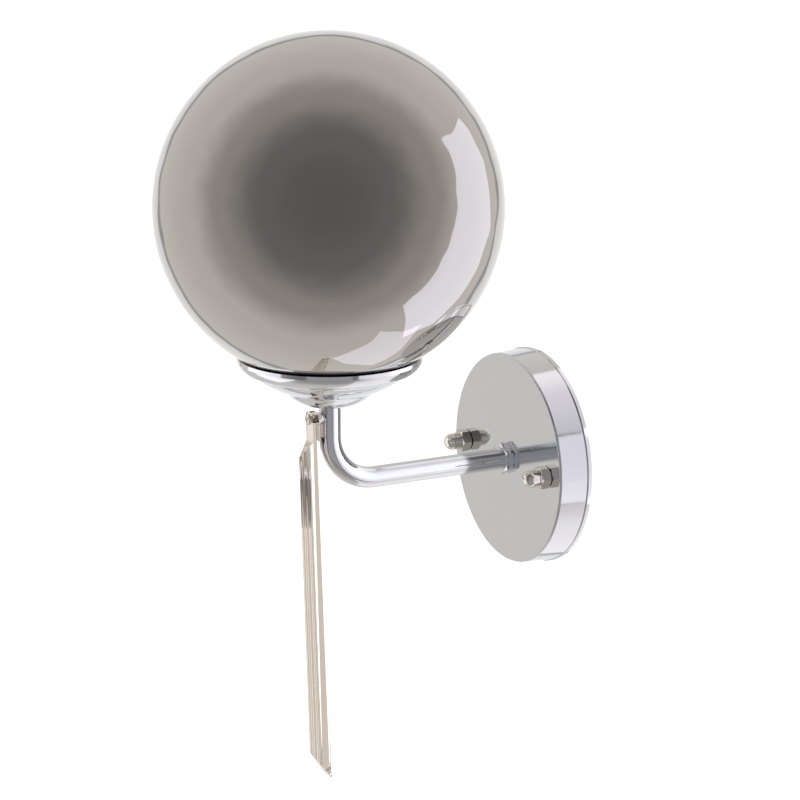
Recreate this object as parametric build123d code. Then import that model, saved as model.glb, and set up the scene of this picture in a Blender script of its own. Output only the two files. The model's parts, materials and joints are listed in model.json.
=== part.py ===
from build123d import *
import os
from math import cos, pi, radians, sin, sqrt, tan

os.makedirs("parts", exist_ok=True)

# Globe wall sconce.  Sizes are in millimetres.
# The wall is the plane Y = 0 and the fitting stands out from it along -Y.  +Z is up, and +X is on the
# right of someone who faces the wall.  The origin is the middle of the wall bracket's back.

# ------------------------------------------------------------------ clearances
thread_play = 0.05        # radial room between a thread and what it screws into
hole_play = 0.2           # radial room round a stud, nipple or screw in a plain hole
slip = 0.3                # room between the moving pieces and what they pass
pin_play = 0.06           # radial room of the glass bar on its screw

# ------------------------------------------------------------------ wall plate and bracket
plate_radius = 65.0
plate_depth = 20.4        # from the wall to the plate's face
plate_wall = 1.0
plate_taper = 1.2         # how much narrower the rim is at its front
plate_edge_radius = 1.3
plate_bead_width = 2.4    # rolled bead along the rim's back edge
plate_bead_height = 0.6
bead_roundness = 0.8      # share of the bead's height that its edge is rounded by
stud_spacing = 95.0
stud_radius = 3.0
stud_chamfer = 0.6        # of the studs' front ends
stud_nut_flats = 10.0
stud_nut_height = 3.2
bracket_length = 106.0
bracket_height = 22.0
bracket_thickness = 2.0
bracket_corner = 4.0
bracket_tab_width = 30.0
bracket_tab_drop = 46.0   # from the middle of the bracket to the end of its tab
cable_hole_radius = 6.0
wall_slot_spacing = 60.0
wall_slot_length = 12.0
wall_slot_width = 4.8

# ------------------------------------------------------------------ cap nuts
cap_washer_thickness = 0.4
cap_washer_radius = 5.9
cap_hex_flats = 12.0
cap_hex_height = 6.0
cap_collar_radius = 5.7
cap_collar_height = 0.6
cap_dome_radius = 5.1
cap_dome_centre = 10.5    # from the nut's seat to the centre of its dome
cap_tip_wall = 2.8        # metal left at the end of the blind thread
stud_end_gap = 1.0        # between the stud's end and the end of the blind thread

# ------------------------------------------------------------------ arm
arm_reach = 138.2         # from the wall to the upright run's axis
arm_radius = 6.35
arm_wall = 1.0
arm_bend_radius = 28.0    # on the tube's axis
arm_top = 47.2            # where the upright run meets the holder
nipple_radius = 5.0
nipple_bore = 3.5
nipple_grip = 14.0        # length brazed into the tube
wall_nipple_back = 14.6   # from the wall to the nipple's open end
lock_nut_flats = 17.0
lock_nut_height = 4.0
lock_nut_groove = 0.35
lock_nut_front_layer = 1.4    # from the nut's front to the middle of its groove
lock_nut_collar_radius = 7.1
lock_nut_collar_height = 1.2
arm_washer_radius = 8.2
arm_washer_thickness = 0.8
inner_nut_flats = 14.0
inner_nut_height = 3.0
tag_thickness = 0.8
tag_radius = 8.0
tag_tail_length = 13.0
tag_tail_width = 4.0
tag_angle = -60.0         # of the tail, from +X, seen from the front
tag_barrel_radius = 1.9
tag_barrel_length = 4.4
bush_flange_radius = 5.6
bush_flange_height = 1.2
bush_spigot_length = 3.0
bush_bore = 2.65

# ------------------------------------------------------------------ terminal block and leads
block_width = 27.0
block_depth = 10.0
block_height = 14.4
block_middle = -34.0      # height of the block's middle
pole_pitch = 8.6
pole_depth = 4.6          # from the bracket's face to the poles' axes
sleeve_radius = 2.2
sleeve_bore = 1.35
sleeve_length = 13.4
block_corner = 1.2
terminal_screw_radius = 1.3
terminal_screw_spread = 6.6
terminal_slot_width = 0.5
terminal_slot_depth = 0.4
block_screw_radius = 1.5
block_screw_head_radius = 2.6
block_screw_head_height = 1.4
block_slot_width = 0.7
block_slot_depth = 0.7
lead_radius = 1.1
lead_spread = 1.3         # of each lead from the middle of the tube
lead_turn_depth = 4.4     # from the wall to the leads where they turn into the nipple
lead_turn_drop = 20.0     # height below the arm at which the leads start towards it
lead_sweep_radius = 40.0  # widest bend of the leads behind the plate
lead_into_sleeve = 5.5    # length of a lead inside its terminal sleeve
lead_end_gap = 1.5        # between a lead's end and the lampholder's core
fan_rise = 1.0            # above the holder's nipple, where the leads start to part
fan_drop = 3.7            # below the lampholder's terminals, where they run upright again
fan_in_radius = 10.0
fan_out_radius = 6.0
barrel_end_gap = 0.5      # between the earth lead's end and the end of its barrel
earth_elbow = 5.0         # from the tag's tail to the earth lead's first bend
earth_rise = 2.5          # of that lead's second bend above the terminal block
earth_bend_radius = 8.0

# ------------------------------------------------------------------ shade holder
cup_wall = 1.0
cup_neck_gap = 3.5        # room round the globe's neck inside the lip
cup_height = 29.0
cup_lip_straight = 2.2    # upright part of the lip
cup_lip_width = 8.1       # of the top tier, from its edge to its foot
cup_lip_foot_height = 19.6
cup_lip_sag = 1.7
cup_hem_width = 2.6       # of the rim, which is folded inwards
cup_hem_radius = 1.2
cup_step = 0.6            # groove between two tiers
cup_middle_foot_radius = 26.0
cup_middle_foot_height = 8.7
cup_middle_sag = 1.0
cup_base_radius = 11.5
cup_base_sag = 1.5
holder_washer_radius = 8.6
holder_washer_thickness = 0.8
holder_nut_flats = 14.0
holder_nut_height = 3.0
holder_nipple_length = 10.3

# ------------------------------------------------------------------ globe, gasket and spring
globe_radius = 100.0
globe_wall = 3.0
neck_radius = 49.0
neck_wall = 3.0
neck_length = 4.8         # from the neck's rim to the ball
neck_seat = 3.2           # of the neck's rim above the foot of the cup's lip
spider_thickness = 0.8
spider_arms = 3
spider_arm_width = 10.0
spider_hub_radius = 9.0
spider_shoulder = 6.7     # from the upright part of an arm in to where its slope ends
spider_shoulder_drop = 2.5
spider_height = 14.0      # of the arms inside the neck

# ------------------------------------------------------------------ lampholder and bulb
hub_radius = 8.0
hub_straight = 4.3
holder_body_radius = 19.0
holder_body_wall = 2.0
holder_cone_height = 8.5
cap_rim_height = 4.0      # of the holder cap's straight part below the core
cap_ledge_rise = 0.5      # of the ledge's lower edge above the holder cap's cone
cap_hub_wall = 1.5
core_ledge = 1.5
core_height = 6.0
sleeve_height = 28.0
sleeve_lip = 2.0
sleeve_mouth_radius = 14.8
shell_radius = 14.2
shell_wall = 0.5
shell_height = 24.0
shell_hole_radius = 6.0
terminal_offset = 7.5     # of each lead's hole from the lamp's axis
live_stem = 3.4           # where each terminal's stem passes through the core
neutral_stem = 8.2
terminal_size = 5.0
terminal_height = 4.5
terminal_roof = 1.0       # metal left above each lead's hole
core_screw_radius = 1.25
core_screw_head_radius = 2.0
core_screw_head = 1.2
core_slot_width = 0.6
core_slot_depth = 0.6
contact_thickness = 0.5
contact_width = 5.0
contact_rise = 4.2
bulb_tip_radius = 4.8
bulb_tip_height = 1.5
bulb_cap_radius = 13.1
bulb_cap_wall = 0.5
bulb_cap_height = 20.0
bulb_insulator_radius = 10.5
bulb_insulator_height = 4.5
bulb_skirt_radius = 15.3
bulb_skirt_height = 5.5
bulb_glass_radius = 30.0
bulb_glass_rise = 46.0    # of the ball's middle above the cap's skirt
bulb_glass_wall = 1.0
bulb_neck_radius = 14.4
bulb_neck_length = 8.0
bulb_cheek_angle = 40.0   # below the ball's middle, where its neck curve starts

# ------------------------------------------------------------------ glass bar and what it hangs from
pin_drop = 7.6            # of the screw below the arm's top
pin_radius = 2.0
boss_radius = 3.2
boss_front = 6.9          # from the tube's axis to the boss's face
prism_nut_flats = 7.0
prism_nut_height = 2.7
tongue_thickness = 3.4    # of the bar's upper end, where its ridge is ground away
tongue_crown = 4.75       # from the hole to the bar's rounded top
tongue_shoulder = 1.5     # from the hole down to where the rounding starts
tongue_base = 12.8        # from the hole to the foot of the ground face
prism_side = 12.9         # side of the bar's three-sided section
prism_edge_chamfer = 0.45
prism_ridge_top = 22.2    # from the hole down to the front ridge's upper end
prism_ridge_foot = 203.3
prism_back_foot = 220.3   # from the hole down to the flat back's lower end
prism_lean = 1.75         # degrees that the bar leans in the slack of its hole
screw_head_radius = 3.1
screw_head_height = 1.5
head_roundness = 0.6      # share of the head's height that its edge is rounded by
screw_slot_width = 0.9
screw_slot_depth = 0.7
screw_slot_turn = 35.0

# ------------------------------------------------------------------ places
cup_floor = arm_top + cup_wall
cup_lip_radius = neck_radius + cup_neck_gap + cup_wall
cup_lip_foot_radius = cup_lip_radius - cup_lip_width
cup_lip_top = arm_top + cup_height
cup_lip_foot = arm_top + cup_lip_foot_height
cup_middle_foot = arm_top + cup_middle_foot_height
neck_foot = cup_lip_foot + neck_seat
neck_bore = neck_radius - neck_wall
globe_centre = neck_foot + neck_length + sqrt(globe_radius ** 2 - neck_radius ** 2)
holder_nipple_top = arm_top + holder_nipple_length
pin_height = arm_top - pin_drop

outward = Rot(90, 0, 0)                       # local Z becomes the distance from the wall
on_lamp_axis = Pos(0, -arm_reach, 0)
at_pin = Pos(0, -arm_reach, pin_height) * outward

SQRT3 = sqrt(3)
mitre = tan(radians(22.5))                    # inside offset of a 45-degree bend, in wall thicknesses


# ------------------------------------------------------------------ shapes used more than once
def turned(outline):
    """A solid of revolution about Z from a closed outline of (radius, height) points."""
    return revolve(Plane.XZ * make_face(Polyline(*outline, close=True)), Axis.Z)


def turned_curves(curves):
    """The same from joined lines and arcs, given as (radius, height) curves."""
    return revolve(Plane.XZ * make_face(curves), Axis.Z)


def disc(radius, low, high):
    return Pos(0, 0, low) * Cylinder(radius, high - low, align=(Align.CENTER, Align.CENTER, Align.MIN))


def ring(outer, inner, low, high):
    return disc(outer, low, high) - disc(inner, low, high)


def hexagon(flats, low, high, turn=30.0):
    """A hexagonal prism whose corners are rounded off at both ends, as on a turned nut."""
    corner = flats / SQRT3
    bar = Pos(0, 0, low) * extrude(Rot(0, 0, turn) * RegularPolygon(corner, 6), high - low)
    bevel = corner - flats / 2
    drop = bevel * tan(radians(30))
    keep = turned([
        (0, low), (flats / 2, low), (corner, low + drop), (corner, high - drop),
        (flats / 2, high), (0, high),
    ])
    return bar & keep


def hex_nut(flats, low, high, thread_radius, turn=30.0):
    return hexagon(flats, low, high, turn) - disc(thread_radius + thread_play, low, high)


def box_between(low, high):
    size = [b - a for a, b in zip(low, high)]
    middle = [(a + b) / 2 for a, b in zip(low, high)]
    return Pos(*middle) * Box(*size)


def bowed(start, end, sag):
    """An arc between two (radius, height) points that bows out and down by sag."""
    dr = end[0] - start[0]
    dz = end[1] - start[1]
    chord = sqrt(dr * dr + dz * dz)
    middle = ((start[0] + end[0]) / 2 - dz / chord * sag, (start[1] + end[1]) / 2 + dr / chord * sag)
    return ThreePointArc(start, middle, end)


def lead(points, radii):
    path = FilletPolyline(*points, radius=radii)
    section = Plane(origin=path @ 0, z_dir=path % 0) * Circle(lead_radius)
    tube = sweep(section, path=path)
    expected = pi * lead_radius ** 2 * path.length
    print("lead: length %.1f, radii %s, volume / (section x length) %.4f"
          % (path.length, [round(r, 1) for r in radii], tube.volume / expected))
    return tube


def widest_radii(points, caps):
    """For each corner, 0.45 of the shorter run over the tangent of half the turn, or its cap."""
    radii = []
    corners = [Vector(*p) for p in points]
    for before, here, after, cap in zip(corners, corners[1:], corners[2:], caps):
        run_in = here - before
        run_out = after - here
        half_turn = radians(run_in.get_angle(run_out)) / 2
        widest = 0.45 * min(run_in.length, run_out.length) / tan(half_turn)
        radii.append(min(widest, cap))
    return radii


made = {}


def keep(name, *solids):
    """Note a node: one solid, or several separate ones."""
    shape = solids[0] if len(solids) == 1 else Compound(children=list(solids))
    made[name] = shape


def pair_of_studs(build):
    """Two copies of a piece that is modelled round the stud's own axis."""
    return [outward * Pos(side * stud_spacing / 2, 0, 0) * build() for side in (-1, 1)]


# ------------------------------------------------------------------ wall bracket and its studs
block_top = block_middle + block_height / 2
block_foot = block_middle - block_height / 2
pole_axis = bracket_thickness + pole_depth
block_front = bracket_thickness + block_depth
pole_places = [-pole_pitch, 0.0, pole_pitch]
block_screw_places = [-pole_pitch / 2, pole_pitch / 2]


def wall_bracket():
    bar = RectangleRounded(bracket_length, bracket_height, bracket_corner)
    tab = RectangleRounded(bracket_tab_width, bracket_tab_drop, bracket_corner)
    outline = bar + Pos(0, -bracket_tab_drop / 2) * tab
    for side in (-1, 1):
        outline -= Pos(side * stud_spacing / 2, 0) * Circle(stud_radius + thread_play)
        outline -= Pos(side * wall_slot_spacing / 2, 0) * SlotOverall(wall_slot_length, wall_slot_width)
    outline -= Circle(cable_hole_radius)
    for place in block_screw_places:
        outline -= Pos(place, block_middle) * Circle(block_screw_radius + thread_play)
    return outward * extrude(outline, bracket_thickness)


cap_seat = plate_depth + cap_washer_thickness
cap_tip = cap_seat + cap_dome_centre + cap_dome_radius
stud_end = cap_tip - cap_tip_wall - stud_end_gap
stud_nut_front = bracket_thickness + stud_nut_height

keep("wall_bracket", wall_bracket())
keep("bracket_studs", *pair_of_studs(lambda: chamfer(
    disc(stud_radius, 0, stud_end).edges().group_by(Axis.Z)[-1], stud_chamfer)))
keep("stud_lock_nuts", *pair_of_studs(
    lambda: hex_nut(stud_nut_flats, bracket_thickness, stud_nut_front, stud_radius)))


# ------------------------------------------------------------------ wall plate
def wall_plate():
    back = plate_radius - plate_bead_height
    face = back - plate_taper
    outer = turned([
        (0, 0), (plate_radius, 0), (plate_radius, plate_bead_width),
        (back, plate_bead_width + plate_bead_height), (face, plate_depth), (0, plate_depth),
    ])
    outer = fillet(outer.edges().filter_by(GeomType.CIRCLE).group_by(Axis.Z)[-1], plate_edge_radius)
    widest = outer.edges().filter_by(GeomType.CIRCLE).group_by(SortBy.RADIUS)[-1]
    outer = fillet(widest.group_by(Axis.Z)[-1], plate_bead_height * bead_roundness)
    hollow = turned([
        (0, 0), (back - plate_wall, 0), (back - plate_wall, plate_bead_width),
        (face - plate_wall, plate_depth - plate_wall), (0, plate_depth - plate_wall),
    ])
    inner_rim = hollow.edges().filter_by(GeomType.CIRCLE).group_by(Axis.Z)[-1]
    hollow = fillet(inner_rim, plate_edge_radius - plate_wall)
    plate = outer - hollow
    low, high = plate_depth - 2 * plate_wall, plate_depth + plate_wall
    for side in (-1, 1):
        plate -= Pos(side * stud_spacing / 2, 0, 0) * disc(stud_radius + hole_play, low, high)
    plate -= disc(nipple_radius + hole_play, low, high)
    return outward * plate


def cap_nut():
    hex_top = cap_seat + cap_hex_height
    centre = cap_seat + cap_dome_centre
    nut = hexagon(cap_hex_flats, cap_seat, hex_top, turn=0)
    nut += disc(cap_collar_radius, hex_top, hex_top + cap_collar_height)
    nut += disc(cap_dome_radius, hex_top, centre)
    nut += Pos(0, 0, centre) * Sphere(cap_dome_radius)
    return nut - disc(stud_radius + thread_play, cap_seat, cap_tip - cap_tip_wall)


keep("wall_plate", wall_plate())
keep("cap_nut_washers", *pair_of_studs(
    lambda: ring(cap_washer_radius, stud_radius + hole_play, plate_depth, cap_seat)))
keep("cap_nuts", *pair_of_studs(cap_nut))

# ------------------------------------------------------------------ arm, its nipples and how it is clamped
arm_bore = arm_radius - arm_wall
lock_nut_seat = plate_depth + arm_washer_thickness
lock_nut_front = lock_nut_seat + lock_nut_height
arm_start = lock_nut_front + lock_nut_collar_height
plate_back = plate_depth - plate_wall
tag_back = plate_back - tag_thickness
inner_nut_back = tag_back - inner_nut_height


def tube_along_arm(radius):
    path = FilletPolyline(
        (0, -arm_start, 0), (0, -arm_reach, 0), (0, -arm_reach, arm_top), radius=arm_bend_radius)
    return sweep(Plane(origin=path @ 0, z_dir=path % 0) * Circle(radius), path=path)


def pin_hole():
    """The tapped hole for the bar's screw, through the boss, the tube and the nipple in it."""
    return at_pin * disc(pin_radius + thread_play, 0, boss_front)


def arm_tube():
    return tube_along_arm(arm_radius) - tube_along_arm(arm_bore) - pin_hole()


def lock_nut():
    nut = hex_nut(lock_nut_flats, lock_nut_seat, lock_nut_front, nipple_radius)
    nut += ring(lock_nut_collar_radius, nipple_radius + thread_play, lock_nut_front, arm_start)
    middle = lock_nut_front - lock_nut_front_layer
    corner = lock_nut_flats / SQRT3
    groove = ring(
        corner + lock_nut_groove, lock_nut_flats / 2 - lock_nut_groove,
        middle - lock_nut_groove / 2, middle + lock_nut_groove / 2)
    return outward * (nut - groove)


def earth_tag():
    tail_middle = tag_tail_length / 2
    tag = disc(tag_radius, tag_back, plate_back)
    tail = Box(tag_tail_length, tag_tail_width, tag_thickness)
    tag += Pos(tail_middle, 0, (tag_back + plate_back) / 2) * tail
    tag -= disc(nipple_radius + hole_play, tag_back, plate_back)
    barrel = ring(tag_barrel_radius, lead_radius + thread_play, 0, tag_barrel_length)
    along_tail = Pos(tag_tail_length - tag_barrel_length, 0, plate_back - tag_barrel_radius) * Rot(0, 90, 0)
    tag -= along_tail * disc(lead_radius + thread_play, 0, tag_barrel_length)
    tag += along_tail * barrel
    return outward * Rot(0, 0, tag_angle) * tag


def nipple_bush():
    bush = ring(bush_flange_radius, bush_bore, wall_nipple_back - bush_flange_height, wall_nipple_back)
    spigot_end = wall_nipple_back + bush_spigot_length
    bush += ring(nipple_bore - thread_play, bush_bore, wall_nipple_back, spigot_end)
    return outward * bush


wall_nipple = ring(nipple_radius, nipple_bore, wall_nipple_back, arm_start)
wall_nipple += ring(arm_bore - thread_play, nipple_bore, arm_start, arm_start + nipple_grip)
holder_nipple = ring(nipple_radius, nipple_bore, arm_top, holder_nipple_top)
holder_nipple += ring(arm_bore - thread_play, nipple_bore, arm_top - nipple_grip, arm_top)

keep("arm_tube", arm_tube())
keep("wall_nipple", outward * wall_nipple)
keep("arm_washer", outward * ring(arm_washer_radius, nipple_radius + hole_play, plate_depth, lock_nut_seat))
keep("arm_lock_nut", lock_nut())
keep("earth_tag", earth_tag())
keep("inner_lock_nut", outward * hex_nut(inner_nut_flats, inner_nut_back, tag_back, nipple_radius))
keep("nipple_bush", nipple_bush())
keep("holder_nipple", on_lamp_axis * holder_nipple - pin_hole())


# ------------------------------------------------------------------ terminal block
def terminal_block():
    body = box_between(
        (-block_width / 2, block_foot, bracket_thickness), (block_width / 2, block_top, block_front))
    body = fillet(body.edges().filter_by(Axis.Z), block_corner)
    for place in pole_places:
        channel = disc(sleeve_radius + thread_play, block_foot, block_top)
        body -= Pos(place, 0, pole_axis) * Rot(-90, 0, 0) * channel
        for height in (block_middle - terminal_screw_spread / 2, block_middle + terminal_screw_spread / 2):
            body -= Pos(place, height, 0) * disc(terminal_screw_radius + thread_play, pole_axis, block_front)
    for place in block_screw_places:
        body -= Pos(place, block_middle, 0) * disc(
            block_screw_radius + thread_play, bracket_thickness, block_front)
    return outward * body


def terminal_sleeve(place):
    low, high = block_middle - sleeve_length / 2, block_middle + sleeve_length / 2
    return outward * Pos(place, 0, pole_axis) * Rot(-90, 0, 0) * ring(sleeve_radius, sleeve_bore, low, high)


def terminal_screw(place, height):
    screw = disc(terminal_screw_radius, pole_axis + sleeve_radius + thread_play, block_front)
    slot = Box(3 * terminal_screw_radius, terminal_slot_width, 2 * terminal_slot_depth)
    return outward * Pos(place, height, 0) * (screw - Pos(0, 0, block_front) * slot)


def block_screw(place):
    head_top = block_front + block_screw_head_height
    screw = disc(block_screw_radius, 0, block_front) + disc(block_screw_head_radius, block_front, head_top)
    slot = Box(3 * block_screw_head_radius, block_slot_width, 2 * block_slot_depth)
    return outward * Pos(place, block_middle, 0) * (screw - Pos(0, 0, head_top) * slot)


screw_heights = [block_middle - terminal_screw_spread / 2, block_middle + terminal_screw_spread / 2]
keep("terminal_block", terminal_block())
keep("terminal_sleeves", *[terminal_sleeve(place) for place in pole_places])
keep("terminal_screws", *[terminal_screw(place, height) for place in pole_places for height in screw_heights])
keep("block_screws", *[block_screw(place) for place in block_screw_places])

# ------------------------------------------------------------------ shade holder
lip_straight_foot = cup_lip_top - cup_lip_straight
middle_top_radius = cup_lip_foot_radius - cup_step
middle_top = cup_lip_foot - cup_step
base_top_radius = cup_middle_foot_radius - cup_step
base_top = cup_middle_foot - cup_step


def cup_lines(inset):
    """The cup's outline from its lip down to its flat base, drawn inset by a wall's thickness."""
    lip = (cup_lip_radius - inset, cup_lip_top)
    bend = (cup_lip_radius - inset, lip_straight_foot)
    foot = (cup_lip_foot_radius - mitre * inset, cup_lip_foot + inset)
    middle = (middle_top_radius - mitre * inset, middle_top + inset)
    middle_foot = (cup_middle_foot_radius - mitre * inset, cup_middle_foot + inset)
    base = (base_top_radius - mitre * inset, base_top + inset)
    base_foot = (cup_base_radius - mitre * inset, arm_top + inset)
    return [
        Line(lip, bend), bowed(bend, foot, cup_lip_sag), Line(foot, middle),
        bowed(middle, middle_foot, cup_middle_sag), Line(middle_foot, base),
        bowed(base, base_foot, cup_base_sag),
    ]


def shade_holder():
    bore = nipple_radius + hole_play
    outer = cup_lines(0)
    inner = cup_lines(cup_wall)
    base = Polyline(outer[-1] @ 1, (bore, arm_top), (bore, cup_floor), inner[-1] @ 1)
    rim = Line(outer[0] @ 0, inner[0] @ 0)
    cup = turned_curves(outer + [base] + inner + [rim])
    hem = ring(cup_lip_radius, cup_lip_radius - cup_hem_width, lip_straight_foot, cup_lip_top)
    cup += fillet(hem.edges().group_by(Axis.Z)[-1], cup_hem_radius)
    return on_lamp_axis * cup


def globe_gasket():
    """A ring that fills the room between the cup's shoulder and the neck's rim."""
    lines = cup_lines(cup_wall)
    closing = Polyline(lines[-1] @ 1, (0, cup_floor), (0, cup_lip_top), lines[0] @ 0)
    cup_room = turned_curves(lines + [closing])
    band = ring(neck_radius + slip, neck_bore, cup_lip_foot, neck_foot)
    return on_lamp_axis * (band & cup_room)


spider_foot = cup_floor
spider_face = spider_foot + spider_thickness
holder_washer_top = spider_face + holder_washer_thickness
holder_nut_top = holder_washer_top + holder_nut_height
spider_top = neck_foot + spider_height
spider_reach = sqrt((neck_bore - slip) ** 2 - (spider_arm_width / 2) ** 2)


def spider_arm():
    """One arm: along the cup's floor, up its slope and then upright inside the neck."""
    line = Polyline(
        (spider_hub_radius - spider_arm_width / 2, spider_foot + spider_thickness / 2),
        (spider_hub_radius, spider_foot + spider_thickness / 2),
        (spider_reach - spider_shoulder, neck_foot - spider_shoulder_drop),
        (spider_reach - spider_thickness / 2, neck_foot + spider_shoulder_drop / 2),
        (spider_reach - spider_thickness / 2, spider_top))
    return extrude(Plane.XZ * trace(line, spider_thickness), spider_arm_width / 2, both=True)


def globe_spider():
    spider = disc(spider_hub_radius, spider_foot, spider_face)
    for count in range(spider_arms):
        spider += Rot(0, 0, 90 + 360 / spider_arms * count) * spider_arm()
    return on_lamp_axis * (spider - disc(nipple_radius + hole_play, spider_foot, spider_face))


keep("shade_holder", shade_holder())
keep("globe_gasket", globe_gasket())
keep("globe_spider", globe_spider())
keep("holder_washer", on_lamp_axis * ring(
    holder_washer_radius, nipple_radius + hole_play, spider_face, holder_washer_top))
keep("holder_nut", on_lamp_axis * hex_nut(holder_nut_flats, holder_washer_top, holder_nut_top, nipple_radius))


# ------------------------------------------------------------------ globe
def globe_shade():
    inside = globe_radius - globe_wall
    outer_foot = globe_centre - sqrt(globe_radius ** 2 - neck_radius ** 2)
    inner_foot = globe_centre - sqrt(inside ** 2 - neck_bore ** 2)
    outer = ThreePointArc(
        (0, globe_centre + globe_radius), (globe_radius, globe_centre), (neck_radius, outer_foot))
    inner = ThreePointArc((neck_bore, inner_foot), (inside, globe_centre), (0, globe_centre + inside))
    neck = Polyline(
        (neck_radius, outer_foot), (neck_radius, neck_foot), (neck_bore, neck_foot), (neck_bore, inner_foot))
    crown = Line((0, globe_centre + inside), (0, globe_centre + globe_radius))
    return on_lamp_axis * turned_curves([outer, neck, inner, crown])


keep("globe_shade", globe_shade())

# ------------------------------------------------------------------ lampholder
body_bore = holder_body_radius - holder_body_wall
hub_foot = holder_nut_top + slip
holder_cone_top = hub_foot + hub_straight + holder_cone_height
core_foot = holder_cone_top + cap_rim_height
core_top = core_foot + core_height
sleeve_top = core_top + sleeve_height
ledge_bore = body_bore - core_ledge
terminal_foot = core_foot - terminal_height
shell_foot = core_top
contact_top = core_top + contact_rise
stem_places = {-1: -live_stem, 1: neutral_stem}


def lampholder_cap():
    thread = nipple_radius + thread_play
    return on_lamp_axis * turned([
        (thread, hub_foot), (hub_radius, hub_foot), (hub_radius, hub_foot + hub_straight),
        (holder_body_radius, holder_cone_top), (holder_body_radius, core_top), (body_bore, core_top),
        (body_bore, core_foot), (ledge_bore, core_foot), (ledge_bore, holder_cone_top + cap_ledge_rise),
        (hub_radius - cap_hub_wall, holder_nipple_top), (thread, holder_nipple_top),
    ])


def lampholder_core():
    core = disc(body_bore - thread_play, core_foot, core_top)
    for side in (-1, 1):
        core -= Pos(stem_places[side], 0, 0) * disc(core_screw_radius + thread_play, core_foot, core_top)
    return on_lamp_axis * core


def core_terminal(side):
    """A brass block with a hole for its lead, a clamping screw and a stem up through the core."""
    half = terminal_size / 2
    inner = min(abs(stem_places[side]) - core_screw_radius, terminal_offset - half)
    ends = sorted([side * inner, side * (terminal_offset + half)])
    block = box_between((ends[0], -half, terminal_foot), (ends[1], half, core_foot))
    entry = disc(lead_radius + thread_play, terminal_foot, core_foot - terminal_roof)
    entry = Pos(side * terminal_offset, 0, 0) * entry
    thread = Pos(side * terminal_offset, 0, (terminal_foot + core_foot) / 2) * Rot(0, side * 90, 0)
    block -= entry + thread * disc(core_screw_radius + thread_play, lead_radius, half)
    stem = Pos(stem_places[side], 0, 0) * disc(core_screw_radius, core_foot, core_top)
    return on_lamp_axis * (block + stem)


def core_screw(side):
    half = terminal_size / 2
    place = Pos(side * terminal_offset, 0, (terminal_foot + core_foot) / 2) * Rot(0, side * 90, 0)
    start = lead_radius + 2 * thread_play
    screw = disc(core_screw_radius, start, half) + disc(core_screw_head_radius, half, half + core_screw_head)
    slot = Box(core_slot_width, 3 * core_screw_head_radius, 2 * core_slot_depth)
    return on_lamp_axis * place * (screw - Pos(0, 0, half + core_screw_head) * slot)


def centre_contact():
    half = shell_hole_radius * 0.8
    strip = Polyline(
        (-half, core_top), (-half * 0.4, core_top), (half * 0.1, contact_top - contact_thickness),
        (half, contact_top - contact_thickness), (half, contact_top), (-half * 0.05, contact_top),
        (-half * 0.5, core_top + contact_thickness), (-half, core_top + contact_thickness), close=True)
    return on_lamp_axis * extrude(Plane.XZ * make_face(strip), contact_width / 2, both=True)


def lampholder_shell():
    floor = ring(shell_radius, shell_hole_radius, shell_foot, shell_foot + shell_wall)
    wall = ring(shell_radius, shell_radius - shell_wall, shell_foot + shell_wall, shell_foot + shell_height)
    return on_lamp_axis * (floor + wall)


def lampholder_sleeve():
    return on_lamp_axis * turned([
        (body_bore, core_top), (holder_body_radius, core_top), (holder_body_radius, sleeve_top),
        (sleeve_mouth_radius, sleeve_top), (sleeve_mouth_radius, sleeve_top - sleeve_lip),
        (body_bore, sleeve_top - sleeve_lip),
    ])


keep("lampholder_cap", lampholder_cap())
keep("lampholder_core", lampholder_core())
keep("core_terminals", *[core_terminal(side) for side in (-1, 1)])
keep("core_screws", *[core_screw(side) for side in (-1, 1)])
keep("centre_contact", centre_contact())
keep("lampholder_shell", lampholder_shell())
keep("lampholder_sleeve", lampholder_sleeve())

# ------------------------------------------------------------------ bulb
bulb_foot = contact_top + slip
insulator_foot = bulb_foot + bulb_tip_height
insulator_top = insulator_foot + bulb_insulator_height
cap_foot = insulator_top
cap_top = cap_foot + bulb_cap_height
skirt_top = cap_top + bulb_skirt_height
cap_shoulder = bulb_cap_radius - bulb_insulator_radius
skirt_rise = bulb_skirt_radius - bulb_cap_radius


def bulb_cap():
    wall = bulb_cap_wall
    return on_lamp_axis * turned([
        (bulb_insulator_radius, cap_foot), (bulb_cap_radius, cap_foot + cap_shoulder),
        (bulb_cap_radius, cap_top - skirt_rise), (bulb_skirt_radius, cap_top), (bulb_skirt_radius, skirt_top),
        (bulb_skirt_radius - wall, skirt_top), (bulb_skirt_radius - wall, cap_top + wall * mitre),
        (bulb_cap_radius - wall, cap_top - skirt_rise + wall * mitre),
        (bulb_cap_radius - wall, cap_foot + cap_shoulder + wall * mitre),
        (bulb_insulator_radius, cap_foot + wall * (1 + mitre)),
    ])


def bulb_insulator():
    plug_top = insulator_top + bulb_cap_wall * (1 + mitre)
    return on_lamp_axis * turned([
        (0, insulator_foot), (bulb_tip_radius, insulator_foot), (bulb_insulator_radius, insulator_top),
        (bulb_insulator_radius, plug_top), (0, plug_top),
    ])


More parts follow.
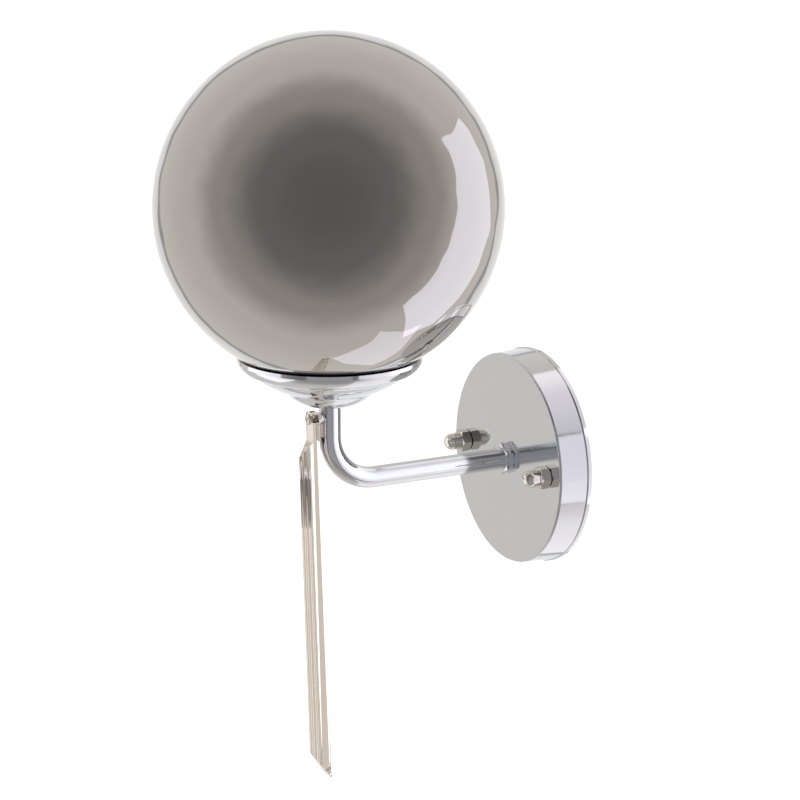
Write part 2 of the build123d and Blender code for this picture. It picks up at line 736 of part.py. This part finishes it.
def bulb_glass():
    """The blown envelope: a ball that draws in to a neck held in the cap's skirt."""
    neck_top = skirt_top + bulb_neck_length
    neck_end = cap_top + bulb_cap_wall
    centre = skirt_top + bulb_glass_rise

    def envelope(inset):
        ball = bulb_glass_radius - inset
        neck = bulb_neck_radius - inset
        crown = (0, centre + ball)
        cheek = (ball * cos(radians(bulb_cheek_angle)), centre - ball * sin(radians(bulb_cheek_angle)))
        waist = TangentArc((neck, neck_top), cheek, tangent=(0, 1))
        return [
            ThreePointArc(crown, (ball, centre), cheek), waist, Line((neck, neck_top), (neck, neck_end)),
        ]

    outer = envelope(0)
    inner = envelope(bulb_glass_wall)
    rim = Line((bulb_neck_radius, neck_end), (bulb_neck_radius - bulb_glass_wall, neck_end))
    crown = Line(inner[0] @ 0, outer[0] @ 0)
    return on_lamp_axis * turned_curves(outer + [rim] + inner + [crown])


keep("bulb_tip", on_lamp_axis * disc(bulb_tip_radius, bulb_foot, insulator_foot))
keep("bulb_insulator", bulb_insulator())
keep("bulb_cap", bulb_cap())
keep("bulb_glass", bulb_glass())

# ------------------------------------------------------------------ glass bar and what it hangs from
prism_nut_front = boss_front + prism_nut_height
tongue_back = prism_nut_front + slip
tongue_middle = tongue_back + tongue_thickness / 2
head_back = tongue_back + tongue_thickness + slip
prism_section_depth = prism_side * SQRT3 / 2
back_face = tongue_thickness / 2
ridge = back_face - prism_section_depth


def prism_bar():
    """The bar about the middle of its hole: local +Y is towards the wall and the ridge points away."""
    half = prism_side / 2
    section = make_face(Polyline((-half, back_face), (half, back_face), (0, ridge), close=True))
    section = chamfer(section.vertices(), prism_edge_chamfer)
    bar = Pos(0, 0, -prism_back_foot) * extrude(section, prism_back_foot + tongue_crown)
    side_view = make_face(Polyline(
        (back_face, tongue_crown), (back_face, -prism_back_foot), (ridge, -prism_ridge_foot),
        (ridge, -prism_ridge_top), (-back_face, -tongue_base), (-back_face, tongue_crown), close=True))
    front_view = make_face([
        ThreePointArc((-half, -tongue_shoulder), (0, tongue_crown), (half, -tongue_shoulder)),
        Polyline(
            (half, -tongue_shoulder), (half, -prism_back_foot), (-half, -prism_back_foot),
            (-half, -tongue_shoulder)),
    ])
    bar &= extrude(Plane.YZ * side_view, prism_side, both=True)
    bar &= extrude(Plane.XZ * front_view, 2 * prism_side, both=True)
    hole = Rot(90, 0, 0) * disc(pin_radius + pin_play, -tongue_thickness, tongue_thickness)
    return Pos(0, -arm_reach - tongue_middle, pin_height) * (Rot(prism_lean, 0, 0) * bar - hole)


def prism_boss():
    collar = at_pin * disc(boss_radius, 0, boss_front)
    tube_room = on_lamp_axis * disc(arm_radius, pin_height - 3 * boss_radius, pin_height + 3 * boss_radius)
    return collar - tube_room - pin_hole()


def prism_screw():
    head_front = head_back + screw_head_height
    head = disc(screw_head_radius, head_back, head_front)
    head = fillet(head.edges().group_by(Axis.Z)[-1], screw_head_height * head_roundness)
    screw = head + disc(pin_radius, nipple_bore + slip, head_back)
    slot = Rot(0, 0, screw_slot_turn) * Box(3 * screw_head_radius, screw_slot_width, 2 * screw_slot_depth)
    return at_pin * (screw - Pos(0, 0, head_front) * slot)


keep("prism_boss", prism_boss())
keep("prism_nut", at_pin * hex_nut(prism_nut_flats, boss_front, prism_nut_front, pin_radius, turn=0))
keep("prism_screw", prism_screw())
keep("prism_bar", prism_bar())


# ------------------------------------------------------------------ leads
lead_end = core_foot - lead_end_gap
fan_start = holder_nipple_top + fan_rise
fan_end = terminal_foot - fan_drop
wire_stop = block_middle + sleeve_length / 2 - lead_into_sleeve


def supply_lead(pole, side):
    points = [
        (pole, -pole_axis, wire_stop),
        (pole, -pole_axis, -lead_turn_drop),
        (side * lead_spread, -lead_turn_depth, 0),
        (side * lead_spread, -arm_reach, 0),
        (side * lead_spread, -arm_reach, fan_start),
        (side * terminal_offset, -arm_reach, fan_end),
        (side * terminal_offset, -arm_reach, lead_end),
    ]
    into_nipple = wall_nipple_back - bush_flange_height - lead_turn_depth - slip
    caps = [lead_sweep_radius, into_nipple, arm_bend_radius, fan_in_radius, fan_out_radius]
    return lead(points, widest_radii(points, caps))


def earth_lead():
    turn = radians(tag_angle)
    barrel_depth = plate_back - tag_barrel_radius
    barrel_start = tag_tail_length - tag_barrel_length + barrel_end_gap
    elbow = tag_tail_length + earth_elbow
    points = [
        (barrel_start * cos(turn), -barrel_depth, barrel_start * sin(turn)),
        (elbow * cos(turn), -barrel_depth, elbow * sin(turn)),
        (pole_pitch, -pole_axis, block_top + earth_rise),
        (pole_pitch, -pole_axis, wire_stop),
    ]
    return lead(points, widest_radii(points, [earth_bend_radius] * 2))


keep("live_lead", supply_lead(-pole_pitch, -1))
keep("neutral_lead", supply_lead(0.0, 1))
keep("earth_lead", earth_lead())

for name, shape in made.items():
    shape.label = name
    export_step(shape, "parts/%s.step" % name)
print("%d nodes written" % len(made))
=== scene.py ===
import bpy
import json
from math import asin, cos, pi, radians, sin
from mathutils import Matrix, Vector


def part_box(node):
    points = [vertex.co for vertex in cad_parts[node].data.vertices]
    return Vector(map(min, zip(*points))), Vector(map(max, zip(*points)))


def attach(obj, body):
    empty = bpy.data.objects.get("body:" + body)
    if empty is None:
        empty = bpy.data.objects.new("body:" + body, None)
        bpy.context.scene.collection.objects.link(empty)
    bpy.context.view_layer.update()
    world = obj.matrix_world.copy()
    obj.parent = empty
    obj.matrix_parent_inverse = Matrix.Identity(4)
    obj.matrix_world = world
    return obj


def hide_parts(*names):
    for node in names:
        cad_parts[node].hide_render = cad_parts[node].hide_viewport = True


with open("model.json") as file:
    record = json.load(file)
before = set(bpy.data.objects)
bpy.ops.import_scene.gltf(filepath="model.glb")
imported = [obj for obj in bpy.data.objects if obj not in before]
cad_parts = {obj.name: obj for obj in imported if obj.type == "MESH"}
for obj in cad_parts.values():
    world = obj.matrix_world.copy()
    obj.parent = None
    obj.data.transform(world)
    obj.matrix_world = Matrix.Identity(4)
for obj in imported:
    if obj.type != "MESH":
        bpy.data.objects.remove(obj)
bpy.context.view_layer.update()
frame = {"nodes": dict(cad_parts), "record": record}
nodes = frame["nodes"]
slot_of = {part["node"]: part["material_slot"] for part in frame["record"]["subparts"]}
scene = bpy.context.scene
MM = 0.001
WHITE = (1, 1, 1)

# ------------------------------------------------------------------ the camera, fitted to the photograph
CAMERA_PLACE = Vector((1.402775, -0.832620, 0.447107))
CAMERA_RIGHT = Vector((0.466492, 0.884525, 0.000654))
CAMERA_UP = Vector((-0.218078, 0.114296, 0.969215))
CAMERA_BACK = Vector((0.857221, -0.452274, 0.246214))
LENS_MM = 126.0
SENSOR_MM = 36.0
NEAR_CLIP = 0.05
FAR_CLIP = 200.0


def placed(place, right, up, back):
    """The matrix of a lamp or camera at a place, whose X, Y and Z axes point right, up and back."""
    return Matrix.Translation(place) @ Matrix((right, up, back)).transposed().to_4x4()


# ------------------------------------------------------------------ node helpers
def new_material(name):
    """An empty material with one shader, and the tree and shader that more nodes are added to."""
    material = bpy.data.materials.new(name)
    material.use_nodes = True
    tree = material.node_tree
    tree.nodes.clear()
    output = tree.nodes.new("ShaderNodeOutputMaterial")
    shader = tree.nodes.new("ShaderNodeBsdfPrincipled")
    tree.links.new(shader.outputs["BSDF"], output.inputs["Surface"])
    return material, tree, shader


def own_coordinates(tree):
    """A place on the piece, in metres in its own coordinates."""
    return tree.nodes.new("ShaderNodeTexCoord").outputs["Object"]


def noise(tree, scale, detail=2.0, roughness=0.5):
    texture = tree.nodes.new("ShaderNodeTexNoise")
    texture.inputs["Scale"].default_value = scale
    texture.inputs["Detail"].default_value = detail
    texture.inputs["Roughness"].default_value = roughness
    tree.links.new(own_coordinates(tree), texture.inputs["Vector"])
    return texture.outputs["Fac"]


def ranged(tree, value, low, high):
    spread = tree.nodes.new("ShaderNodeMapRange")
    spread.inputs["To Min"].default_value = low
    spread.inputs["To Max"].default_value = high
    tree.links.new(value, spread.inputs["Value"])
    return spread.outputs["Result"]


def two_colours(tree, value, first, second):
    mix = tree.nodes.new("ShaderNodeMix")
    mix.data_type = "RGBA"
    mix.inputs["A"].default_value = (*first, 1)
    mix.inputs["B"].default_value = (*second, 1)
    tree.links.new(value, mix.inputs["Factor"])
    return mix.outputs["Result"]


def bumped(tree, shader, value, distance):
    bump = tree.nodes.new("ShaderNodeBump")
    bump.inputs["Distance"].default_value = distance
    bump.inputs["Strength"].default_value = 1.0
    tree.links.new(value, bump.inputs["Height"])
    tree.links.new(bump.outputs["Normal"], shader.inputs["Normal"])


def mottled(tree, shader, grain, first, second, low, high):
    """Two colours and a range of roughness that follow one fine noise, which is returned."""
    value = noise(tree, grain, detail=3.0, roughness=0.6)
    tree.links.new(two_colours(tree, value, first, second), shader.inputs["Base Color"])
    tree.links.new(ranged(tree, value, low, high), shader.inputs["Roughness"])
    return value


# ------------------------------------------------------------------ kinds of material
WAVINESS = 45.0
GLASS_GRAIN = 220.0
GLASS_TINT = 0.985
LEAD_GRAIN = 700.0
LEAD_ROUGHNESS = (0.30, 0.42)
SECOND_COLOUR_FROM = 0.6
BAR_LEAN = radians(-1.75)
FLUTE_PERIOD = 3.8 * MM
FLUTE_DEPTH = 0.12 * MM
FLUTE_PHASE = 1.3
WAVE_UNITS = 20


def metal(name, colour, worn, low, high, grain=900.0, wave=0.0):
    """A metal whose colour and roughness vary a little over its surface."""
    material, tree, shader = new_material(name)
    shader.inputs["Metallic"].default_value = 1.0
    mottled(tree, shader, grain, colour, worn, low, high)
    if wave:
        bumped(tree, shader, noise(tree, WAVINESS, detail=1.0), wave)
    return material


def plain(name, colour, other, low, high, grain=500.0, bump=0.0):
    """Plastic, rubber or ceramic with a fine mottle."""
    material, tree, shader = new_material(name)
    value = mottled(tree, shader, grain, colour, other, low, high)
    if bump:
        bumped(tree, shader, value, bump)
    return material


def striped(name, first, second, scale):
    """Lead insulation with stripes of a second colour."""
    material, tree, shader = new_material(name)
    wave = tree.nodes.new("ShaderNodeTexWave")
    wave.inputs["Scale"].default_value = scale
    stripes = tree.nodes.new("ShaderNodeValToRGB")
    stripes.color_ramp.interpolation = "CONSTANT"
    stripes.color_ramp.elements[0].color = (*first, 1)
    stripes.color_ramp.elements[1].position = SECOND_COLOUR_FROM
    stripes.color_ramp.elements[1].color = (*second, 1)
    tree.links.new(own_coordinates(tree), wave.inputs["Vector"])
    tree.links.new(wave.outputs["Fac"], stripes.inputs["Fac"])
    tree.links.new(stripes.outputs["Color"], shader.inputs["Base Color"])
    tree.links.new(ranged(tree, noise(tree, LEAD_GRAIN), *LEAD_ROUGHNESS), shader.inputs["Roughness"])
    return material


def fluted(tree, shader, depth):
    """Shallow flutes along the glass bar, which leans by an angle about X."""
    mapping = tree.nodes.new("ShaderNodeMapping")
    mapping.inputs["Rotation"].default_value = (BAR_LEAN, 0, 0)
    wave = tree.nodes.new("ShaderNodeTexWave")
    wave.bands_direction = "Y"
    wave.inputs["Scale"].default_value = 2 * pi / (WAVE_UNITS * FLUTE_PERIOD)
    wave.inputs["Phase Offset"].default_value = FLUTE_PHASE
    tree.links.new(own_coordinates(tree), mapping.inputs["Vector"])
    tree.links.new(mapping.outputs["Vector"], wave.inputs["Vector"])
    bumped(tree, shader, wave.outputs["Fac"], depth)


def glass(name, colour, low, high, index, flutes=0.0):
    """Clear or frosted glass, with flutes of the depth that is given."""
    material, tree, shader = new_material(name)
    shader.inputs["Transmission Weight"].default_value = 1.0
    shader.inputs["IOR"].default_value = index
    value = noise(tree, GLASS_GRAIN)
    darker = [channel * GLASS_TINT for channel in colour]
    tree.links.new(two_colours(tree, value, colour, darker), shader.inputs["Base Color"])
    tree.links.new(ranged(tree, value, low, high), shader.inputs["Roughness"])
    if flutes:
        fluted(tree, shader, flutes)
    return material


# ------------------------------------------------------------------ one material for each slot
# A metal or plain one has two close colours, a range of roughness and maybe its grain and bump. A glass has
# one colour, a range of roughness, its index and maybe its flutes. A striped one has two colours and a scale.
FINISHES = {
    "polished_metal": (metal, (0.79, 0.80, 0.83), (0.75, 0.76, 0.80), 0.08, 0.14),
    "polished_nickel": (metal, (0.80, 0.76, 0.70), (0.74, 0.70, 0.65), 0.05, 0.10),
    "mirrored_glass": (metal, (0.66, 0.64, 0.62), (0.64, 0.62, 0.60), 0.02, 0.04, 60.0, 0.5 * MM),
    "clear_glass": (glass, (0.92, 0.83, 0.76), 0.0, 0.02, 1.5, FLUTE_DEPTH),
    "frosted_glass": (glass, (0.97, 0.96, 0.94), 0.35, 0.45, 1.45),
    "dark_glass": (plain, (0.02, 0.02, 0.025), (0.03, 0.03, 0.035), 0.08, 0.15),
    "zinc_steel": (metal, (0.62, 0.64, 0.66), (0.52, 0.54, 0.57), 0.30, 0.42, 350.0),
    "spring_steel": (metal, (0.50, 0.51, 0.53), (0.42, 0.43, 0.46), 0.25, 0.38, 350.0),
    "brass": (metal, (0.80, 0.61, 0.32), (0.70, 0.52, 0.27), 0.22, 0.36, 400.0),
    "aluminium_cap": (metal, (0.78, 0.78, 0.79), (0.70, 0.70, 0.72), 0.24, 0.36, 400.0),
    "black_rubber": (plain, (0.018, 0.018, 0.018), (0.03, 0.03, 0.03), 0.6, 0.8, 900.0, 0.05 * MM),
    "black_plastic": (plain, (0.02, 0.02, 0.022), (0.03, 0.03, 0.033), 0.38, 0.5, 800.0, 0.02 * MM),
    "white_nylon": (plain, (0.80, 0.79, 0.74), (0.74, 0.73, 0.68), 0.40, 0.52, 300.0),
    "ceramic": (plain, (0.82, 0.80, 0.75), (0.76, 0.74, 0.69), 0.50, 0.62, 350.0),
    "brown_pvc": (striped, (0.11, 0.045, 0.02), (0.12, 0.05, 0.025), 40.0),
    "blue_pvc": (striped, (0.02, 0.09, 0.38), (0.022, 0.10, 0.40), 40.0),
    "green_yellow_pvc": (striped, (0.05, 0.30, 0.06), (0.72, 0.62, 0.04), 60.0),
}
MATERIALS = {slot: make(slot, *values) for slot, (make, *values) in FINISHES.items()}

for name, piece in nodes.items():
    piece.data.materials.clear()
    piece.data.materials.append(MATERIALS[slot_of[name]])

# ------------------------------------------------------------------ the globe, turned smooth from its profile
WALL = 3.0 * MM
NECK = 49.0 * MM
LIP = 0.8 * MM
LIP_CORNER = 0.3 * LIP
OUTSIDE_STEPS = 160
INSIDE_STEPS = 120
ON_THE_AXIS = 1e-7


def angle_at(radius, reach):
    """Where a circle round the globe's middle is at a reach from the axis, low down, as an angle above level.

    It is kept to a thousandth of a radian, which leaves the neck's wall upright to 0.03 mm.
    """
    return -pi / 2 + round(asin(reach / radius), 3)


def arc(radius, centre, start, end, steps):
    """Points (radius, height) on a circle whose centre is on the axis, by angle above level."""
    angles = [start + (end - start) * count / steps for count in range(steps + 1)]
    return [(radius * cos(angle), centre + radius * sin(angle)) for angle in angles]


def lathe(name, profile, axis_y, turns=256):
    """A closed surface of revolution about the upright line x = 0, y = axis_y."""
    points = []
    faces = []
    rings = []
    for radius, height in profile:
        if radius < ON_THE_AXIS:
            rings.append([len(points)])
            points.append((0.0, axis_y, height))
            continue
        rings.append(list(range(len(points), len(points) + turns)))
        for count in range(turns):
            angle = 2 * pi * count / turns
            points.append((radius * cos(angle), axis_y + radius * sin(angle), height))
    for lower, upper in zip(rings, rings[1:]):
        for count in range(turns):
            after = (count + 1) % turns
            corners = [lower[count % len(lower)], lower[after % len(lower)],
                       upper[after % len(upper)], upper[count % len(upper)]]
            corners = list(dict.fromkeys(corners))
            if len(corners) > 2:
                faces.append(corners)
    mesh = bpy.data.meshes.new(name)
    mesh.from_pydata(points, [], faces)
    mesh.validate()
    mesh.update()
    for face in mesh.polygons:
        face.use_smooth = True
    made = bpy.data.objects.new(name, mesh)
    scene.collection.objects.link(made)
    return made


globe_corner, globe_far_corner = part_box("globe_shade")
globe_r = (globe_far_corner[0] - globe_corner[0]) / 2
globe_y = (globe_far_corner[1] + globe_corner[1]) / 2
globe_z = globe_far_corner[2] - globe_r
inside_r = globe_r - WALL
bore = NECK - WALL
neck_end = globe_corner[2]
outer_lip = [(bore + LIP, neck_end), (NECK - LIP, neck_end), (NECK - LIP_CORNER, neck_end + LIP_CORNER),
             (NECK, neck_end + LIP)]
outside = arc(globe_r, globe_z, angle_at(globe_r, NECK), pi / 2, OUTSIDE_STEPS)
inside = arc(inside_r, globe_z, pi / 2, angle_at(inside_r, bore), INSIDE_STEPS)
inner_lip = [(bore, neck_end + LIP), (bore + LIP_CORNER, neck_end + LIP_CORNER), (bore + LIP, neck_end)]
globe = lathe("globe_shade_smooth", outer_lip + outside + inside + inner_lip, globe_y)
globe.data.materials.append(MATERIALS["mirrored_glass"])
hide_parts("globe_shade")
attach(globe, "globe")

# ------------------------------------------------------------------ floor and surroundings
FLOOR_HEIGHT = -0.235
FLOOR_SIZE = 60.0
FLOOR_GREY = (0.5, 0.5, 0.5)
FLOOR_ROUGHNESS = 0.9

# The room's brightness, from the part behind the object (-1) round to the part behind the camera (1).
ROOM = (
    (-1.0, (0.95, 0.95, 0.95)),
    (-0.85, (0.86, 0.86, 0.87)),
    (-0.805, (0.36, 0.36, 0.36)),
    (-0.76, (0.70, 0.68, 0.64)),
    (-0.20, (0.62, 0.60, 0.56)),
    (0.30, (0.36, 0.34, 0.32)),
    (0.75, (0.17, 0.165, 0.165)),
    (1.0, (0.14, 0.135, 0.135)),
)


def camera_ray(tree):
    """1 for a ray from the camera, 0 for any other."""
    return tree.nodes.new("ShaderNodeLightPath").outputs["Is Camera Ray"]


def studio_floor():
    """A grey floor that also glows white for the camera. Mirrors and glass don't see it."""
    bpy.ops.mesh.primitive_plane_add(size=FLOOR_SIZE, location=(0, 0, FLOOR_HEIGHT))
    floor = bpy.context.object
    floor.name = "studio_floor"
    material, tree, shader = new_material("studio_floor")
    shader.inputs["Base Color"].default_value = (*FLOOR_GREY, 1)
    shader.inputs["Roughness"].default_value = FLOOR_ROUGHNESS
    glow = tree.nodes.new("ShaderNodeEmission")
    glow.inputs["Color"].default_value = (*WHITE, 1)
    tree.links.new(camera_ray(tree), glow.inputs["Strength"])
    both = tree.nodes.new("ShaderNodeAddShader")
    surface = shader.outputs["BSDF"].links[0].to_socket
    tree.links.new(shader.outputs["BSDF"], both.inputs[0])
    tree.links.new(glow.outputs["Emission"], both.inputs[1])
    tree.links.new(both.outputs["Shader"], surface)
    floor.data.materials.append(material)
    floor.visible_glossy = False
    floor.visible_transmission = False
    return floor


def studio_world():
    """White for the camera, and a room for every other ray."""
    world = bpy.data.worlds.new("studio")
    world.use_nodes = True
    tree = world.node_tree
    tree.nodes.clear()
    output = tree.nodes.new("ShaderNodeOutputWorld")
    sky = tree.nodes.new("ShaderNodeBackground")
    tree.links.new(sky.outputs["Background"], output.inputs["Surface"])
    place = tree.nodes.new("ShaderNodeTexCoord")
    facing = tree.nodes.new("ShaderNodeVectorMath")
    facing.operation = "DOT_PRODUCT"
    facing.inputs[1].default_value = CAMERA_BACK.normalized()
    tree.links.new(place.outputs["Generated"], facing.inputs[0])
    along = tree.nodes.new("ShaderNodeMapRange")
    along.inputs["From Min"].default_value = -1.0
    along.inputs["From Max"].default_value = 1.0
    tree.links.new(facing.outputs["Value"], along.inputs["Value"])
    room = tree.nodes.new("ShaderNodeValToRGB")
    room.color_ramp.interpolation = "EASE"
    tree.links.new(along.outputs["Result"], room.inputs["Fac"])
    elements = room.color_ramp.elements
    while len(elements) < len(ROOM):
        elements.new(0.5)  # its place is set below
    for element, (backward, colour) in zip(elements, ROOM):
        element.position = (backward + 1.0) / 2
        element.color = (*colour, 1)
    mix = tree.nodes.new("ShaderNodeMix")
    mix.data_type = "RGBA"
    mix.inputs["B"].default_value = (*WHITE, 1)
    tree.links.new(camera_ray(tree), mix.inputs["Factor"])
    tree.links.new(room.outputs["Color"], mix.inputs["A"])
    tree.links.new(mix.outputs["Result"], sky.inputs["Color"])
    return world


studio_floor()
scene.world = studio_world()

# ------------------------------------------------------------------ lamps
METALS = ("polished_metal", "polished_nickel")
LAVENDER = (0.94, 0.92, 1.0)
VIOLET = (0.80, 0.79, 1.0)
COOL = (0.90, 0.94, 1.0)
PAPER = (1.0, 0.99, 0.98)
GLOBE_MIDDLE = Vector((0, globe_y, globe_z))
ARM_MIDDLE = Vector((0, -0.08, 0.01))
PLATE_MIDDLE = Vector((0, -0.01, 0))
TO_THE_WALL = Vector((0, 1, 0))
WALLWARD = 0.745
OUTWARD = 0.667


def in_view(right, up, back):
    """A direction given by how far it points to the photograph's right, up and towards the camera."""
    return CAMERA_RIGHT * right + CAMERA_UP * up + CAMERA_BACK * back


def round_the_arm(degrees):
    """A direction wallward and out from the arm's level axis, at an angle about it from +X up."""
    angle = radians(degrees)
    return Vector((OUTWARD * cos(angle), WALLWARD, OUTWARD * sin(angle)))


def collection_of(name, pieces):
    group = bpy.data.collections.new(name)
    for piece in pieces:
        group.objects.link(piece)
    return group


def metal_nodes(but=()):
    return [nodes[name] for name, slot in slot_of.items() if slot in METALS and name not in but]


everything = collection_of("all_pieces", [nodes[name] for name in slot_of if name != "globe_shade"] + [globe])
all_metal = collection_of("metal_pieces", metal_nodes())
globe_only = collection_of("globe_only", [globe])
off_the_plate = collection_of("off_the_plate", metal_nodes(but=("wall_plate",)))
tube_only = collection_of("tube_only", [nodes["arm_tube"]])
bar_only = collection_of("bar_only", [nodes["prism_bar"]])


def softbox(name, middle, direction, distance, size, glow, colour, lit=None, upright=CAMERA_UP):
    """A panel of even brightness that faces a middle, lights some pieces and adds its glow to the room's."""
    width, height = size
    data = bpy.data.lights.new(name, "AREA")
    data.shape = "RECTANGLE"
    data.size = width
    data.size_y = height
    data.energy = glow * pi * width * height
    data.color = colour
    lamp = bpy.data.objects.new(name, data)
    back = direction.normalized()
    across = upright.cross(back).normalized()
    lamp.matrix_world = placed(middle + back * distance, across, back.cross(across), back)
    scene.collection.objects.link(lamp)
    lamp.visible_camera = False
    if lit is not None:
        lamp.light_linking.receiver_collection = lit
        lamp.light_linking.blocker_collection = everything
    return lamp


# The globe mirrors these two as the pale window shape at its lower right.
softbox("globe_right", GLOBE_MIDDLE, in_view(0.93, -0.20, -0.30), distance=1.2, size=(0.84, 2.3), glow=0.56,
        colour=VIOLET, lit=globe_only)
softbox("globe_low", GLOBE_MIDDLE, in_view(0.31, -0.86, -0.42), distance=1.2, size=(0.6, 0.5), glow=0.40,
        colour=VIOLET, lit=globe_only)

# The wall plate's rim mirrors these three side by side, and so does the level stretch of the tube.
for name, degrees, width, glow in (
        ("metal_right", -4, 1.66, 0.70), ("metal_over", 70, 1.74, 0.48), ("metal_under", -78, 1.74, 0.40)):
    softbox(name, PLATE_MIDDLE, round_the_arm(degrees), distance=1.2, size=(width, 2.3), glow=glow,
            colour=LAVENDER, lit=all_metal, upright=TO_THE_WALL)
softbox("tube_shine", ARM_MIDDLE, round_the_arm(18), distance=1.2, size=(1.6, 2.3), glow=0.38,
        colour=COOL, lit=tube_only, upright=TO_THE_WALL)
softbox("metal_left", ARM_MIDDLE, in_view(-1.0, -0.1, 0.0), distance=1.2, size=(1.2, 2.6), glow=0.70,
        colour=COOL, lit=off_the_plate)
softbox("metal_front", ARM_MIDDLE, in_view(0.0, -0.27, 1.0), distance=1.9, size=(2.0, 3.2), glow=0.20,
        colour=COOL, lit=all_metal)

# Two narrow strips that the glass bar's flutes turn into white stripes.
for name, direction in (
        ("bar_right", Vector((0.03, 1.0, -0.24))), ("bar_left", Vector((-0.86, -0.50, -0.25)))):
    softbox(name, ARM_MIDDLE, direction, distance=1.5, size=(0.12, 3.0), glow=1.1, colour=COOL, lit=bar_only)

overhead = softbox("top_softbox", ARM_MIDDLE, Vector((-0.1, -0.2, 1.0)), distance=1.8, size=(1.6, 1.6),
                   glow=0.8, colour=PAPER)
overhead.visible_glossy = False

# ------------------------------------------------------------------ camera and view settings
optics = bpy.data.cameras.new("camera")
optics.lens = LENS_MM
optics.sensor_width = SENSOR_MM
optics.sensor_fit = "HORIZONTAL"
optics.clip_start = NEAR_CLIP
optics.clip_end = FAR_CLIP
camera = bpy.data.objects.new("camera", optics)
camera.matrix_world = placed(CAMERA_PLACE, CAMERA_RIGHT, CAMERA_UP, CAMERA_BACK)
scene.collection.objects.link(camera)
bpy.context.scene.camera = camera
scene.view_settings.view_transform = "Standard"
